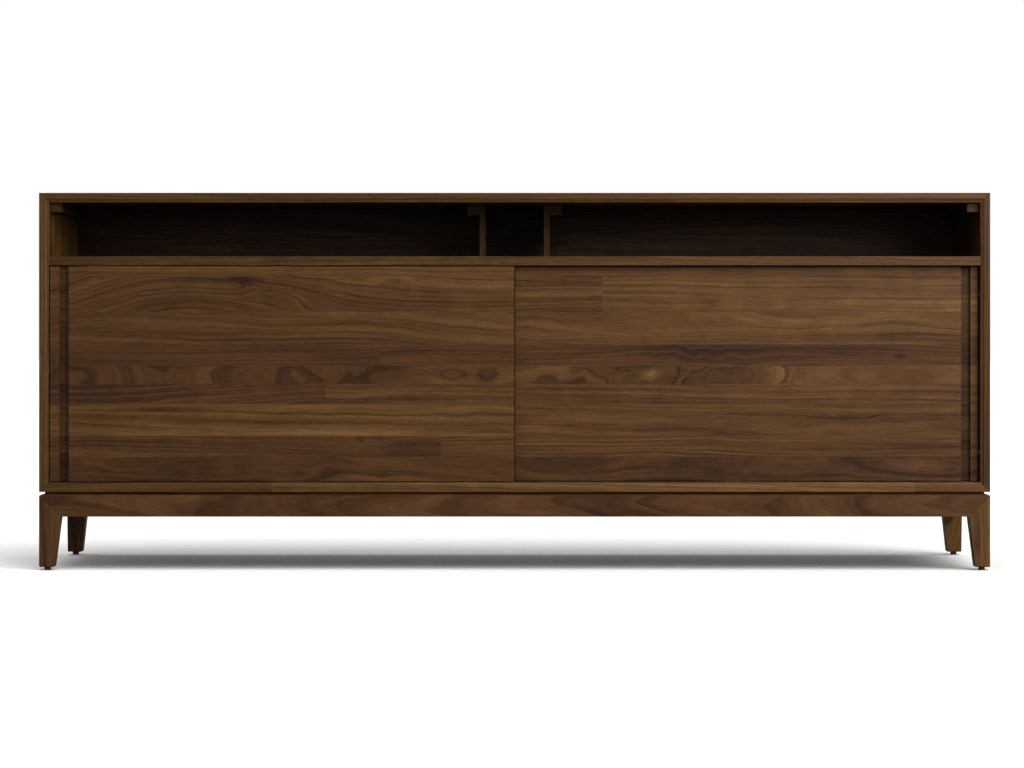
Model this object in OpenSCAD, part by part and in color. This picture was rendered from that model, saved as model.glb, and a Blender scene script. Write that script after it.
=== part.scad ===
// Low media cabinet: a mitred case with an open shelf over two bypass sliding doors, on a leg base.
// The origin is on the floor, below the middle of the cabinet. +Z is up and the front faces -Y.

/* [Case] */
// Overall width
case_w = 2000; // [1500:10:2400]
// Overall depth
case_d = 460; // [380:5:600]
// Overall height, from the floor to the top
total_h = 794; // [650:1:950]
// Thickness of the top, sides and bottom
panel_t = 20; // [18:0.5:30]
// Thickness of the fixed shelf under the open bay
shelf_t = 19; // [18:0.5:25]
// Clear height of the open bay
bay_h = 113.5; // [90:0.5:200]
// Width of the stepped lip round the front opening
lip_w = 3; // [2:0.5:5]
// How far the lip lies behind the front edge
lip_set = 3; // [1:0.5:5]
// Width of the bevel between the front edge and the lip
bevel_w = 4.5; // [2:0.5:8]
// How deep the fixed shelf is housed in each side
housing_depth = 6; // [4:0.5:10]
// How far the housing stops behind the shelf's front edge
housing_stop = 20; // [10:1:60]

/* [Back] */
// Thickness of the back panels
back_t = 12; // [6:1:18]
// How far the back panels lie inside the rear edge
back_set = 8; // [2:1:20]
// How deep the rebate that takes the back panels is
rebate = 8; // [5:0.5:12]
// Clearance at the top, bottom and outer edges of the back panels
back_gap = 0.5; // [0.2:0.1:1]
// Diameter of the cable hole in each back panel
cable_hole_d = 64; // [50:1:80]
// Height of the cable holes above the case's bottom
cable_hole_up = 150; // [60:5:200]

/* [Open bay] */
// Clear width of the centre bay
centre_bay_w = 126; // [100:2:400]
// Thickness of the bay dividers
divider_t = 13; // [12:0.5:20]
// How far the dividers stand behind the front edge
divider_set = 213; // [100:1:260]
// Width of the cleats under the top
cleat_w = 26; // [20:1:40]
// Height of the cleats under the top
cleat_h = 20; // [16:1:30]
// How far the side cleats stand behind the front edge
cleat_set = 20; // [10:1:60]
// Radius of the cable notches in the fixed shelf
notch_r = 30; // [20:1:40]
// Height of the cable notches in the dividers
divider_notch_h = 40; // [20:1:60]

/* [Lower compartments] */
// Thickness of the centre partition
partition_t = 19; // [18:0.5:25]
// How far the partition and the loose shelves stand behind the front edge
partition_set = 60; // [55:1:100]
// Thickness of the adjustable shelves
loose_shelf_t = 19; // [16:0.5:25]
// Clearance at each end and at the back of an adjustable shelf
loose_shelf_gap = 1.5; // [1:0.5:3]
// Height of the adjustable shelves above the case's bottom
loose_shelf_up = 220; // [160:1:260]
// Diameter of the shelf pins
pin_d = 5; // [5:0.5:7]
// Length of a shelf pin in its hole
pin_in = 9; // [8:0.5:9]
// Length of a shelf pin outside its hole
pin_out = 8; // [6:0.5:12]
// Spacing of the rows of shelf holes
hole_pitch = 32; // [25:1:40]
// Rows of shelf holes above and below the one in use
hole_rows = 2; // [0:1:3]
// Distance of the shelf holes from a shelf's front and back edges
hole_edge = 50; // [37:1:80]

/* [Doors] */
// Thickness of the doors
door_t = 18; // [17:0.5:22]
// Gap above and below the doors
door_gap = 2; // [1.5:0.5:4]
// Gap between each closed door and its side panel
side_gap = 2; // [1.8:0.1:4]
// How far the front door's face lies behind the front edge
door_set = 5; // [4:0.5:12]
// Gap between the two doors' planes
bypass_gap = 3; // [2:0.5:6]
// How far the rear door reaches behind the front one
door_overlap = 24; // [10:1:60]
// Thickness of the dust strip on the front door's inner end
strip_t = 2; // [1:0.25:3]
// Width of the finger groove
pull_w = 19.5; // [15:0.5:30]
// Depth of the finger groove
pull_depth = 10; // [6:0.5:12]
// Width of the strip outside the finger groove
pull_strip = 20; // [12:0.5:40]
// Width of that strip on the rear door, which stands deeper in the case
rear_pull_strip = 16; // [12:0.5:40]

/* [Door hardware] */
// Outer width of the bottom and top tracks
track_w = 9; // [8:0.5:10]
// Depth of the tracks
track_h = 7; // [6:0.5:9]
// Wall of the tracks
track_wall = 1.2; // [0.8:0.1:1.6]
// Radius of the door wheels
wheel_r = 12; // [10:0.5:13]
// Thickness of the door wheels
wheel_t = 5; // [4:0.5:6]
// Width of a wheel's rim, and of the boss round its bore
wheel_rim = 2.5; // [1.5:0.5:3]
// Radius of the wheel axles
axle_r = 1.5; // [1.25:0.25:2]
// Radial clearance of a wheel on its axle
running_gap = 0.05; // [0.02:0.01:0.1]
// Clearance of a wheel over its track
wheel_lift = 0.1; // [0.05:0.05:0.3]
// Width of the roller housings and top guides let into the doors
housing_w = 12; // [11:0.5:14]
// Length of the roller housings
roller_len = 46; // [40:1:60]
// Height of the roller housings
roller_h = 24; // [20:1:30]
// Space between a wheel and the inside of its housing
wheel_room = 0.8; // [0.5:0.1:2]
// Distance of the rollers and guides from the doors' ends
hardware_inset = 90; // [60:5:200]
// Length of the top guides
guide_len = 30; // [20:1:50]
// Height of the part of a top guide inside the door
guide_in = 18; // [12:1:25]
// Thickness of the top guide's tongue
tongue_t = 5; // [4:0.5:6]
// Height of the tongue above the door
tongue_h = 6.5; // [5:0.5:7]
// How far the tongue stops short of each end of the guide
tongue_end = 4; // [2:0.5:8]
// Diameter of the door bumpers
bumper_d = 10; // [6:1:14]
// Thickness of the door bumpers
bumper_t = 1.4; // [1:0.1:1.5]
// Distance of the bumpers from the doors' top and bottom edges
bumper_edge = 60; // [30:5:120]

/* [Base] */
// Height of the apron's face
apron_h = 44.5; // [35:0.5:60]
// Thickness of the aprons
apron_t = 25; // [20:0.5:32]
// How far the case's shadow line is set in from the apron's face
reveal_set = 11; // [6:0.5:14]
// Height of the slope between the apron's face and the shadow line
slope_h = 4; // [2:0.5:8]
// Height of the shadow line
reveal_h = 3.5; // [2:0.5:10]
// Height of the legs below the aprons
leg_h = 106; // [60:1:180]
// Width of a leg at the apron
leg_top_w = 44; // [38:0.5:55]
// Width of a leg at its foot
leg_foot_w = 32; // [26:0.5:40]
// Chamfer round the foot of a leg
leg_chamfer = 1.5; // [0.5:0.5:3]
// Section of the cross rails
rail_w = 44; // [30:1:60]
// Height of the cross rails and corner blocks
rail_h = 24; // [18:1:30]
// Distance of the outer cross rails from the middle
rail_x = 480; // [350:10:600]
// Length of a corner block's short sides
block_len = 70; // [60:1:90]

/* [Levelers] */
// Height of the leveler's foot below the leg
foot_h = 7; // [5:0.5:12]
// Diameter of the leveler's foot
foot_d = 14; // [12:1:20]
// Gap between the leg and a foot that is screwed right in
foot_gap = 0.4; // [0.3:0.1:1]
// Chamfer round the foot's lower rim
foot_chamfer = 2; // [0.5:0.5:2.5]
// Diameter of the leveler's stem
stem_d = 6; // [5:0.5:8]
// Length of the leveler's stem
stem_len = 34; // [25:1:45]
// Chamfer at the stem's upper end
stem_chamfer = 1; // [0.5:0.5:2]
// Outer diameter of the threaded socket in the leg
socket_d = 10; // [9:0.5:12]
// Length of the threaded socket
socket_len = 16; // [12:1:25]
// Clearance round the stem
stem_gap = 0.05; // [0.02:0.01:0.1]

/* [Screws] */
// Diameter of the wood screws
screw_d = 4; // [3.5:0.5:5]
// Diameter of their countersunk heads
screw_head_d = 8; // [7:0.5:9]
// Diameter of the screws that hold the back panels
back_screw_d = 3; // [2.5:0.5:3.5]
// Diameter of the back screws' heads
back_screw_head_d = 6; // [5:0.5:7]
// Height of the back screws' heads
back_screw_head_h = 1.8; // [1.4:0.1:2.4]
// Distance of a cleat's first and last screws from its ends
cleat_screw_end = 30; // [20:1:40]
// How far a cleat's sideways screws stand behind its upright ones
cleat_screw_step = 15; // [10:1:18]
// Distance of the back panels' first and last screws from the ends of a row
back_screw_end = 60; // [40:5:90]
// Distance of the first and last side screws from the case's top and bottom
side_screw_end = 90; // [70:5:120]
// How far a screw goes into the second piece
screw_bite = 8; // [6:0.5:9]

/* [Hidden] */
$fn = 48;

// Far enough past a face to cut cleanly through it
past = 1;
// Overlap that joins two shapes of one solid
joined = 0.01;

// Outer faces
half_w = case_w / 2;
front_y = -case_d / 2;
rear_y = case_d / 2;

// Heights, from the floor up
apron_z = foot_h + leg_h;
apron_top_z = apron_z + apron_h;
slope_top_z = apron_top_z + slope_h;
case_z = slope_top_z + reveal_h;
floor_z = case_z + panel_t;
ceiling_z = total_h - panel_t;
shelf_top_z = ceiling_z - bay_h;
shelf_z = shelf_top_z - shelf_t;

// Inside of the case
inner_x = half_w - panel_t;
back_face_y = rear_y - back_set - back_t;
shelf_front_y = front_y + lip_set;
divider_front_y = front_y + divider_set;
partition_front_y = front_y + partition_set;
divider_x = centre_bay_w / 2;
cleat_front_y = front_y + cleat_set;
notch_x = (inner_x + divider_x + divider_t) / 2;

// Adjustable shelves and their pins
loose_shelf_z = floor_z + loose_shelf_up;
loose_shelf_back_y = back_face_y - loose_shelf_gap;
pin_z = loose_shelf_z - pin_d / 2;
pin_ys = [partition_front_y + hole_edge, loose_shelf_back_y - hole_edge];
pin_faces = [[-inner_x, 1], [-partition_t / 2, -1], [partition_t / 2, 1], [inner_x, -1]];

// Doors
door_z = floor_z + door_gap;
door_top_z = shelf_z - door_gap;
door_h = door_top_z - door_z;
front_door_y = front_y + door_set;
rear_door_y = front_door_y + door_t + bypass_gap;
door_end_x = inner_x - side_gap;
hardware_y = [front_door_y + door_t / 2, rear_door_y + door_t / 2];
left_hardware_x = [-door_end_x + hardware_inset, -hardware_inset];
right_hardware_x = [door_end_x - hardware_inset, -door_overlap + hardware_inset];
wheel_z = floor_z - track_h + track_wall + wheel_lift + wheel_r;
bumper_zs = [door_z + bumper_edge, door_top_z - bumper_edge];

// Base and levelers
leg_x = half_w - leg_foot_w / 2;
leg_y = case_d / 2 - leg_foot_w / 2;
rail_z = case_z - rail_h;
rail_end_y = case_d / 2 - apron_t;
block_x = half_w - apron_t;

// Wood screws
head_h = (screw_head_d - screw_d) / 2;
cleat_screw_ys = [
    divider_front_y + cleat_screw_end,
    (divider_front_y + back_face_y) / 2,
    back_face_y - cleat_screw_end
];
rail_screw_ys = [-rail_end_y / 2, rail_end_y / 2];
block_screw_in = block_len / 4;
back_screw_xs = [for (i = [0:3]) back_screw_end + i * (inner_x - 2 * back_screw_end) / 3];
back_screw_zs = [for (i = [0:2]) case_z + side_screw_end + i * (total_h - case_z - 2 * side_screw_end) / 2];
partition_screw_zs = [floor_z + back_screw_end, shelf_z - back_screw_end];
rebate_mid = rebate / 2;

wood = "#56391f";
pale_wood = "#6b4a2c";
hardware_black = "#262524";
plastic_grey = "#8c8a86";
steel = "#a9adb0";

// Extrudes a side view, drawn as [y, z], from x0 to x1
module along_x(x0, x1)
    translate([x0, 0, 0])
        rotate([90, 0, 90])
            linear_extrude(x1 - x0)
                children();

// Extrudes a front view, drawn as [x, z], from y0 to y1
module along_y(y0, y1)
    translate([0, y1, 0])
        rotate([90, 0, 0])
            linear_extrude(y1 - y0)
                children();

// A block given by its lowest and highest corners
module block(low, high)
    translate(low)
        cube([for (i = [0:2]) high[i] - low[i]]);

// Outline of the cut that makes the lip and bevel at a panel's inner front edge: inner is the
// place of the panel's inner face, and out is 1 or -1, towards its outer face
function edge_cut(inner, out) = [
    [front_y - past, inner - out * past],
    [front_y + lip_set, inner - out * past],
    [front_y + lip_set, inner + out * lip_w],
    [front_y, inner + out * (lip_w + bevel_w)],
    [front_y - past, inner + out * (lip_w + bevel_w)]
];

// ---- Screws ----

// A countersunk wood screw, with its head at the origin and its point towards +Z
module wood_screw(length, gap = 0) {
    cylinder(h = head_h, r1 = screw_head_d / 2 + gap, r2 = screw_d / 2 + gap);
    translate([0, 0, head_h - joined])
        cylinder(h = length - head_h, r = screw_d / 2 + gap);
}

// A small pan-head screw, with its head on the plane z = 0 and its point towards +Z
module pan_screw(length, gap = 0) {
    translate([0, 0, -back_screw_head_h])
        cylinder(h = back_screw_head_h, r = back_screw_head_d / 2);
    cylinder(h = length, r = back_screw_d / 2 + gap);
}

// Where each cleat's screws stand: [x of the cleat's middle, side that it is screwed to]
cleats = [
    [-inner_x + cleat_w / 2, -1],
    [-divider_x - divider_t - cleat_w / 2, 1],
    [divider_x + divider_t + cleat_w / 2, -1],
    [inner_x - cleat_w / 2, 1]
];

module cleat_screw_set(gap = 0) {
    for (cleat = cleats)
        for (y = cleat_screw_ys) {
            translate([cleat[0], y, ceiling_z - cleat_h])
                wood_screw(cleat_h + screw_bite, gap);
            translate([cleat[0] - cleat[1] * cleat_w / 2, y + cleat_screw_step, ceiling_z - cleat_h / 2])
                rotate([0, cleat[1] * 90, 0])
                    wood_screw(cleat_w + screw_bite, gap);
        }
}

module base_screw_set(gap = 0) {
    for (x = [-rail_x, 0, rail_x])
        for (y = rail_screw_ys)
            translate([x, y, rail_z])
                wood_screw(rail_h + screw_bite, gap);
    for (sx = [-1, 1])
        for (sy = [-1, 1])
            translate([sx * (block_x - block_screw_in), sy * (rail_end_y - block_screw_in), rail_z])
                wood_screw(rail_h + screw_bite, gap);
}

module back_screw_set(gap = 0) {
    for (side = [-1, 1]) {
        for (x = back_screw_xs)
            for (z = [floor_z - rebate_mid, shelf_z + shelf_t / 2, ceiling_z + rebate_mid])
                back_screw(side * x, z, gap);
        for (z = back_screw_zs)
            back_screw(side * (inner_x + rebate_mid), z, gap);
        for (z = partition_screw_zs)
            back_screw(side * partition_t / 4, z, gap);
    }
}

module back_screw(x, z, gap)
    translate([x, rear_y - back_set, z])
        rotate([90, 0, 0])
            pan_screw(back_t + screw_bite, gap);

// ---- Case ----

module back_rebate_cut()
    block([-inner_x - rebate, back_face_y, floor_z - rebate],
          [inner_x + rebate, rear_y + past, ceiling_z + rebate]);

module top_panel()
    color(wood)
    difference() {
        along_y(front_y, rear_y)
            polygon([[-half_w, total_h], [half_w, total_h], [inner_x, ceiling_z], [-inner_x, ceiling_z]]);
        along_x(-half_w, half_w)
            polygon(edge_cut(ceiling_z, 1));
        back_rebate_cut();
        cleat_screw_set(stem_gap);
        back_screw_set(stem_gap);
    }

module bottom_panel()
    color(wood)
    difference() {
        along_y(front_y, rear_y)
            polygon([[-half_w, case_z], [half_w, case_z], [inner_x, floor_z], [-inner_x, floor_z]]);
        along_x(-half_w, half_w)
            polygon(edge_cut(floor_z, -1));
        back_rebate_cut();
        for (y = hardware_y)
            bottom_track_space(y);
        base_screw_set(stem_gap);
        back_screw_set(stem_gap);
    }

// The part of the fixed shelf that a side panel holds
module shelf_housing(side)
    block([min(side * inner_x, side * (inner_x + housing_depth)), shelf_front_y + housing_stop, shelf_z],
          [max(side * inner_x, side * (inner_x + housing_depth)), back_face_y, shelf_top_z]);

// A side panel; side is -1 for the left one and 1 for the right one
module side_panel(side)
    difference() {
        along_y(front_y, rear_y)
            polygon([[side * half_w, case_z], [side * half_w, total_h],
                     [side * inner_x, ceiling_z], [side * inner_x, floor_z]]);
        translate([0, 0, case_z])
            linear_extrude(total_h - case_z)
                polygon([for (p = edge_cut(side * inner_x, side)) [p[1], p[0]]]);
        back_rebate_cut();
        shelf_housing(side);
        pin_holes();
        cleat_screw_set(stem_gap);
        back_screw_set(stem_gap);
    }

module left_side_panel()
    color(wood)
        side_panel(-1);

module right_side_panel()
    color(wood)
        side_panel(1);

module fixed_shelf()
    color(wood)
    difference() {
        union() {
            block([-inner_x, shelf_front_y, shelf_z], [inner_x, back_face_y, shelf_top_z]);
            shelf_housing(-1);
            shelf_housing(1);
        }
        for (y = hardware_y)
            top_track_space(y);
        for (side = [-1, 1])
            translate([side * notch_x, back_face_y, shelf_z - past])
                cylinder(h = shelf_t + 2 * past, r = notch_r);
        back_screw_set(stem_gap);
    }

// A back panel; side is -1 for the left one and 1 for the right one, and they meet in the middle
module back_panel(side)
    difference() {
        block([min(0, side * (inner_x + rebate - back_gap)), back_face_y, floor_z - rebate + back_gap],
              [max(0, side * (inner_x + rebate - back_gap)), rear_y - back_set,
               ceiling_z + rebate - back_gap]);
        translate([side * inner_x / 2, rear_y, case_z + cable_hole_up])
            rotate([90, 0, 0])
                cylinder(h = back_set + back_t + past, r = cable_hole_d / 2, $fn = 96);
        back_screw_set(stem_gap);
    }

module left_back_panel()
    color(wood)
        back_panel(-1);

module right_back_panel()
    color(wood)
        back_panel(1);

// ---- Open bay ----

module bay_divider(side)
    difference() {
        block([min(side * divider_x, side * (divider_x + divider_t)), divider_front_y, shelf_top_z],
              [max(side * divider_x, side * (divider_x + divider_t)), back_face_y, ceiling_z]);
        block([-divider_x - divider_t - past, back_face_y - notch_r, shelf_top_z - past],
              [divider_x + divider_t + past, back_face_y + past, shelf_top_z + divider_notch_h]);
        cleat_screw_set(stem_gap);
    }

module left_bay_divider()
    color(wood)
        bay_divider(-1);

module right_bay_divider()
    color(wood)
        bay_divider(1);

// A cleat under the top, with its middle at x, from y0 to the back
module cleat(x, y0)
    difference() {
        block([x - cleat_w / 2, y0, ceiling_z - cleat_h], [x + cleat_w / 2, back_face_y, ceiling_z]);
        cleat_screw_set(stem_gap);
    }

module left_side_cleat()
    color(wood)
        cleat(cleats[0][0], cleat_front_y);

module left_divider_cleat()
    color(wood)
        cleat(cleats[1][0], divider_front_y);

module right_divider_cleat()
    color(wood)
        cleat(cleats[2][0], divider_front_y);

module right_side_cleat()
    color(wood)
        cleat(cleats[3][0], cleat_front_y);

module cleat_screws()
    color(steel)
        cleat_screw_set();

module back_panel_screws()
    color(steel)
        back_screw_set();

// ---- Lower compartments ----

// Blind holes for the shelf pins, into the sides and the partition
module pin_holes()
    for (face = pin_faces)
        for (y = pin_ys)
            for (row = [-hole_rows:hole_rows])
                translate([face[0], y, pin_z + row * hole_pitch])
                    rotate([0, -face[1] * 90, 0])
                        translate([0, 0, -past])
                            cylinder(h = pin_in + past, r = pin_d / 2 + stem_gap);

module centre_partition()
    color(wood)
    difference() {
        block([-partition_t / 2, partition_front_y, floor_z], [partition_t / 2, back_face_y, shelf_z]);
        translate([-partition_t / 2 - past, back_face_y, (loose_shelf_z + loose_shelf_t + shelf_z) / 2])
            rotate([0, 90, 0])
                cylinder(h = partition_t + 2 * past, r = notch_r);
        pin_holes();
        back_screw_set(stem_gap);
    }

module adjustable_shelf(side)
    block([min(side * (partition_t / 2 + loose_shelf_gap), side * (inner_x - loose_shelf_gap)),
           partition_front_y, loose_shelf_z],
          [max(side * (partition_t / 2 + loose_shelf_gap), side * (inner_x - loose_shelf_gap)),
           loose_shelf_back_y, loose_shelf_z + loose_shelf_t]);

module left_adjustable_shelf()
    color(wood)
        adjustable_shelf(-1);

module right_adjustable_shelf()
    color(wood)
        adjustable_shelf(1);

// The four pins of one shelf; faces are the two faces that they stand in
module shelf_pins(faces)
    for (face = faces)
        for (y = pin_ys)
            translate([face[0] - face[1] * (pin_in - loose_shelf_gap / 3), y, pin_z])
                rotate([0, face[1] * 90, 0])
                    cylinder(h = pin_in + pin_out, r = pin_d / 2);

module left_shelf_pins()
    color(steel)
        shelf_pins([pin_faces[0], pin_faces[1]]);

module right_shelf_pins()
    color(steel)
        shelf_pins([pin_faces[2], pin_faces[3]]);

// ---- Tracks and bumpers ----

module bottom_track_space(y)
    block([-inner_x, y - track_w / 2, floor_z - track_h], [inner_x, y + track_w / 2, floor_z + past]);

module top_track_space(y)
    block([-inner_x, y - track_w / 2, shelf_z - past], [inner_x, y + track_w / 2, shelf_z + track_h]);

// A channel that lies in its groove, open at the top
module bottom_track(y)
    difference() {
        block([-inner_x, y - track_w / 2, floor_z - track_h], [inner_x, y + track_w / 2, floor_z]);
        block([-inner_x - past, y - track_w / 2 + track_wall, floor_z - track_h + track_wall],
              [inner_x + past, y + track_w / 2 - track_wall, floor_z + past]);
    }

// A channel that hangs in its groove, open at the bottom
module top_track(y)
    difference() {
        block([-inner_x, y - track_w / 2, shelf_z], [inner_x, y + track_w / 2, shelf_z + track_h]);
        block([-inner_x - past, y - track_w / 2 + track_wall, shelf_z - past],
              [inner_x + past, y + track_w / 2 - track_wall, shelf_z + track_h - track_wall]);
    }

module front_bottom_track()
    color(plastic_grey)
        bottom_track(hardware_y[0]);

module rear_bottom_track()
    color(plastic_grey)
        bottom_track(hardware_y[1]);

module front_top_track()
    color(plastic_grey)
        top_track(hardware_y[0]);

module rear_top_track()
    color(plastic_grey)
        top_track(hardware_y[1]);

module door_bumpers()
    color(hardware_black)
        for (side = [-1, 1])
            for (y = hardware_y)
                for (z = bumper_zs)
                    translate([side * inner_x, y, z])
                        rotate([0, -side * 90, 0])
                            cylinder(h = bumper_t, r = bumper_d / 2);

// ---- Base ----

// Side view of an apron, from its outer face at 0 inwards
apron_profile = [
    [0, apron_z], [apron_t, apron_z], [apron_t, case_z],
    [reveal_set, case_z], [reveal_set, slope_top_z], [0, apron_top_z]
];

// Front view of a leg, from its outer face at 0 inwards, with its top cut along the mitre
leg_profile = [
    [leg_chamfer, foot_h], [leg_foot_w - leg_chamfer, foot_h], [leg_foot_w, foot_h + leg_chamfer],
    [leg_top_w, apron_z], [0, apron_top_z], [0, foot_h + leg_chamfer]
];

// A front apron of the given half length, with its outer face at y = 0
module apron(half_len) {
    intersection() {
        along_x(-half_len, half_len)
            polygon(apron_profile);
        along_y(-past, apron_t + past)
            polygon([[-half_len, apron_top_z], [-half_len + leg_top_w, apron_z],
                     [half_len - leg_top_w, apron_z], [half_len, apron_top_z],
                     [half_len, case_z + past], [-half_len, case_z + past]]);
        translate([0, 0, apron_z - past])
            linear_extrude(case_z - apron_z + 2 * past)
                polygon([[-half_len, 0], [half_len, 0],
                         [half_len - apron_t, apron_t], [-half_len + apron_t, apron_t]]);
    }
}

module front_apron()
    color(wood)
        translate([0, front_y, 0])
            apron(half_w);

module back_apron()
    color(wood)
        rotate([0, 0, 180])
            translate([0, front_y, 0])
                apron(half_w);

module left_apron()
    color(wood)
        rotate([0, 0, -90])
            translate([0, -half_w, 0])
                apron(case_d / 2);

module right_apron()
    color(wood)
        rotate([0, 0, 90])
            translate([0, -half_w, 0])
                apron(case_d / 2);

// A leg whose outer corner stands at the origin, with the hole for its leveler
module leg()
    difference() {
        intersection() {
            along_y(0, leg_top_w)
                polygon(leg_profile);
            along_x(0, leg_top_w)
                polygon(leg_profile);
        }
        translate([leg_foot_w / 2, leg_foot_w / 2, foot_h - past]) {
            cylinder(h = socket_len + past, r = socket_d / 2);
            cylinder(h = stem_len + 2 * past, r = stem_d / 2 + stem_gap);
        }
    }

module front_left_leg()
    color(wood)
        translate([-half_w, front_y, 0])
            leg();

module front_right_leg()
    color(wood)
        mirror([1, 0, 0])
            translate([-half_w, front_y, 0])
                leg();

module rear_left_leg()
    color(wood)
        mirror([0, 1, 0])
            translate([-half_w, front_y, 0])
                leg();

module rear_right_leg()
    color(wood)
        rotate([0, 0, 180])
            translate([-half_w, front_y, 0])
                leg();

module cross_rail(x)
    difference() {
        block([x - rail_w / 2, -rail_end_y, rail_z], [x + rail_w / 2, rail_end_y, case_z]);
        base_screw_set(stem_gap);
    }

module left_cross_rail()
    color(pale_wood)
        cross_rail(-rail_x);

module centre_cross_rail()
    color(pale_wood)
        cross_rail(0);

module right_cross_rail()
    color(pale_wood)
        cross_rail(rail_x);

module corner_blocks()
    color(pale_wood)
    difference() {
        for (sx = [0, 1])
            for (sy = [0, 1])
                mirror([sx, 0, 0])
                    mirror([0, sy, 0])
                        translate([-block_x, -rail_end_y, rail_z])
                            linear_extrude(rail_h)
                                polygon([[0, 0], [block_len, 0], [0, block_len]]);
        base_screw_set(stem_gap);
    }

module base_screws()
    color(steel)
        base_screw_set();

// ---- Levelers ----

module leveler_sockets()
    color(steel)
        for (sx = [-1, 1])
            for (sy = [-1, 1])
                translate([sx * leg_x, sy * leg_y, foot_h])
                    difference() {
                        cylinder(h = socket_len, r = socket_d / 2);
                        translate([0, 0, -past])
                            cylinder(h = socket_len + 2 * past, r = stem_d / 2 + stem_gap);
                    }

// A round foot with a chamfered rim, turned in one piece with its stem
module leveler(sx, sy)
    translate([sx * leg_x, sy * leg_y, 0])
        rotate_extrude()
            polygon([[0, 0], [foot_d / 2 - foot_chamfer, 0], [foot_d / 2, foot_chamfer],
                     [foot_d / 2, foot_h - foot_gap], [stem_d / 2, foot_h - foot_gap],
                     [stem_d / 2, foot_h + stem_len - stem_chamfer],
                     [stem_d / 2 - stem_chamfer, foot_h + stem_len], [0, foot_h + stem_len]]);

module front_left_leveler()
    color(hardware_black)
        leveler(-1, -1);

module front_right_leveler()
    color(hardware_black)
        leveler(1, -1);

module rear_left_leveler()
    color(hardware_black)
        leveler(-1, 1);

module rear_right_leveler()
    color(hardware_black)
        leveler(1, 1);

// ---- Doors ----

// A door from x0 to x1 with its face at y; side is the end that has the finger groove and its strip
module door_panel(x0, x1, y, side, strip, xs)
    difference() {
        block([x0, y, door_z], [x1, y + door_t, door_top_z]);
        groove_space(side, strip, y);
        for (x = xs) {
            roller_space(x, y + door_t / 2);
            guide_space(x, y + door_t / 2);
        }
    }

// The finger groove, a plain channel down the whole height of the door's face
module groove_space(side, strip, y)
    block([min(side * (door_end_x - strip - pull_w), side * (door_end_x - strip)), y - past, door_z - past],
          [max(side * (door_end_x - strip - pull_w), side * (door_end_x - strip)), y + pull_depth,
           door_top_z + past]);

module roller_space(x, y)
    block([x - roller_len / 2, y - housing_w / 2, door_z - past],
          [x + roller_len / 2, y + housing_w / 2, door_z + roller_h]);

module guide_space(x, y)
    block([x - guide_len / 2, y - housing_w / 2, door_top_z - guide_in],
          [x + guide_len / 2, y + housing_w / 2, door_top_z + past]);

// A housing let into the door's bottom edge, slotted for its wheel and bored for its axle
module roller_housing(x, y)
    difference() {
        block([x - roller_len / 2, y - housing_w / 2, door_z],
              [x + roller_len / 2, y + housing_w / 2, door_z + roller_h]);
        block([x - wheel_r - wheel_room, y - wheel_t / 2 - wheel_room, door_z - past],
              [x + wheel_r + wheel_room, y + wheel_t / 2 + wheel_room, wheel_z + wheel_r + wheel_room]);
        translate([x, y + housing_w, wheel_z])
            rotate([90, 0, 0])
                cylinder(h = 2 * housing_w, r = axle_r);
    }

module axle(x, y)
    translate([x, y + housing_w / 2, wheel_z])
        rotate([90, 0, 0])
            cylinder(h = housing_w, r = axle_r);

// A wheel with a dished web, bored to run on its axle
module wheel(x, y)
    translate([x, y, wheel_z])
        rotate([90, 0, 0])
            difference() {
                cylinder(h = wheel_t, r = wheel_r, center = true, $fn = 96);
                cylinder(h = wheel_t + 2 * past, r = axle_r + running_gap, center = true);
                for (face = [-1, 1])
                    translate([0, 0, face * wheel_t / 2])
                        difference() {
                            cylinder(h = wheel_t / 3, r = wheel_r - wheel_rim, center = true);
                            cylinder(h = wheel_t, r = axle_r + wheel_rim, center = true);
                        }
            }

module top_guide(x, y) {
    block([x - guide_len / 2, y - housing_w / 2, door_top_z - guide_in],
          [x + guide_len / 2, y + housing_w / 2, door_top_z]);
    block([x - guide_len / 2 + tongue_end, y - tongue_t / 2, door_top_z - past],
          [x + guide_len / 2 - tongue_end, y + tongue_t / 2, door_top_z + tongue_h]);
}

module left_door_panel()
    color(wood)
        door_panel(-door_end_x, -strip_t / 2, front_door_y, -1, pull_strip, left_hardware_x);

// A black pile strip down the front door's inner end, which closes the seam between the doors
module left_door_dust_strip()
    color(hardware_black)
        block([-strip_t / 2, front_door_y, door_z], [strip_t / 2, front_door_y + door_t, door_top_z]);

module right_door_panel()
    color(wood)
        door_panel(-door_overlap, door_end_x, rear_door_y, 1, rear_pull_strip, right_hardware_x);

module left_door_roller_housings()
    color(hardware_black)
        for (x = left_hardware_x)
            roller_housing(x, hardware_y[0]);

module right_door_roller_housings()
    color(hardware_black)
        for (x = right_hardware_x)
            roller_housing(x, hardware_y[1]);

module left_door_axles()
    color(steel)
        for (x = left_hardware_x)
            axle(x, hardware_y[0]);

module right_door_axles()
    color(steel)
        for (x = right_hardware_x)
            axle(x, hardware_y[1]);

module left_door_top_guides()
    color(hardware_black)
        for (x = left_hardware_x)
            top_guide(x, hardware_y[0]);

module right_door_top_guides()
    color(hardware_black)
        for (x = right_hardware_x)
            top_guide(x, hardware_y[1]);

module left_door_outer_wheel()
    color(plastic_grey)
        wheel(left_hardware_x[0], hardware_y[0]);

module left_door_inner_wheel()
    color(plastic_grey)
        wheel(left_hardware_x[1], hardware_y[0]);

module right_door_outer_wheel()
    color(plastic_grey)
        wheel(right_hardware_x[0], hardware_y[1]);

module right_door_inner_wheel()
    color(plastic_grey)
        wheel(right_hardware_x[1], hardware_y[1]);

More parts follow.
